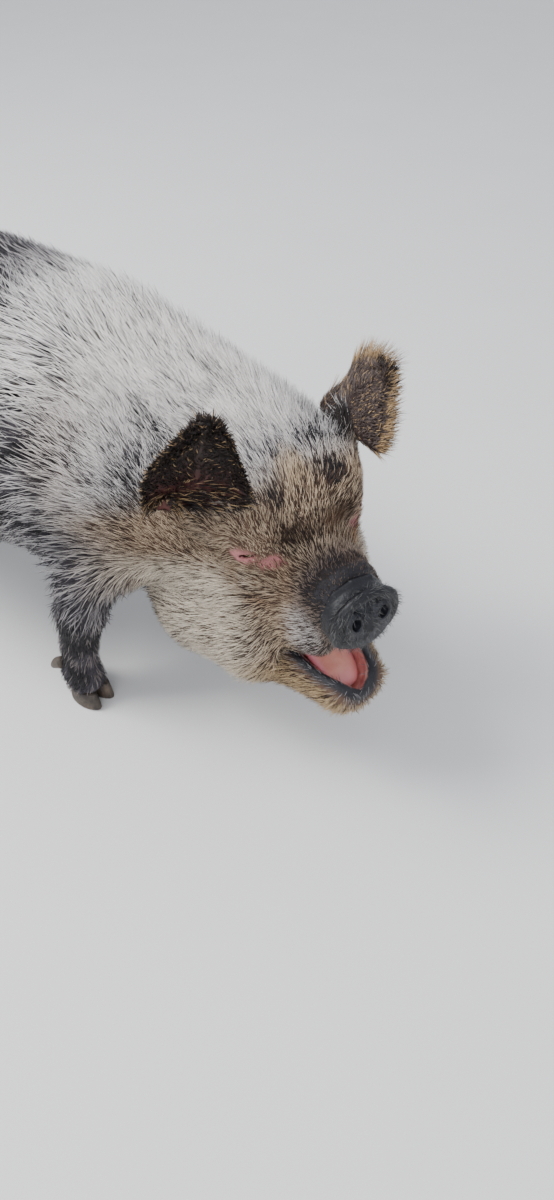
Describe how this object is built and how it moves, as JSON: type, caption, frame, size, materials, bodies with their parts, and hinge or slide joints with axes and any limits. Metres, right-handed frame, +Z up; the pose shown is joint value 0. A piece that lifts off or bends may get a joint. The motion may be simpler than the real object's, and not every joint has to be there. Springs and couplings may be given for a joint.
{
  "type": "kunekune pig",
  "caption": "Life-size still model of a hairy kunekune pig standing with its head turned, snout raised and mouth open.",
  "frame": {"origin": "middle of the animal's bounding box, on the floor under its feet", "axes": "+X to the animal's left, +Y towards its tail so that it faces -Y, +Z up"},
  "size_m": [0.4964, 1.3412, 0.6135],
  "materials": {
    "coat": "coarse grey, black and white hair",
    "face_hair": "short ginger, brown and cream hair",
    "dark_hair": "dark brown hair of the ears",
    "bare_snout": "bare wrinkled blue-black skin",
    "tongue": "moist pink flesh",
    "horn": "dull dark horn",
    "eye": "dark wet eyeball"
  },
  "bodies": {
    "root": {"dewclaw_front_left_inner": "horn", "dewclaw_front_left_outer": "horn", "dewclaw_front_right_inner": "horn", "dewclaw_front_right_outer": "horn", "dewclaw_hind_left_inner": "horn", "dewclaw_hind_left_outer": "horn", "dewclaw_hind_right_inner": "horn", "dewclaw_hind_right_outer": "horn", "ear_left": "dark_hair", "ear_right": "dark_hair", "eye_left": "eye", "eye_right": "eye", "head": "face_hair", "hoof_front_left_inner": "horn", "hoof_front_left_outer": "horn", "hoof_front_right_inner": "horn", "hoof_front_right_outer": "horn", "hoof_hind_left_inner": "horn", "hoof_hind_left_outer": "horn", "hoof_hind_right_inner": "horn", "hoof_hind_right_outer": "horn", "leg_front_left": "coat", "leg_front_right": "coat", "leg_hind_left": "coat", "leg_hind_right": "coat", "lower_jaw": "face_hair", "neck": "coat", "snout": "bare_snout", "tail": "coat", "tongue": "tongue", "torso": "coat"}
  },
  "joints": []
}
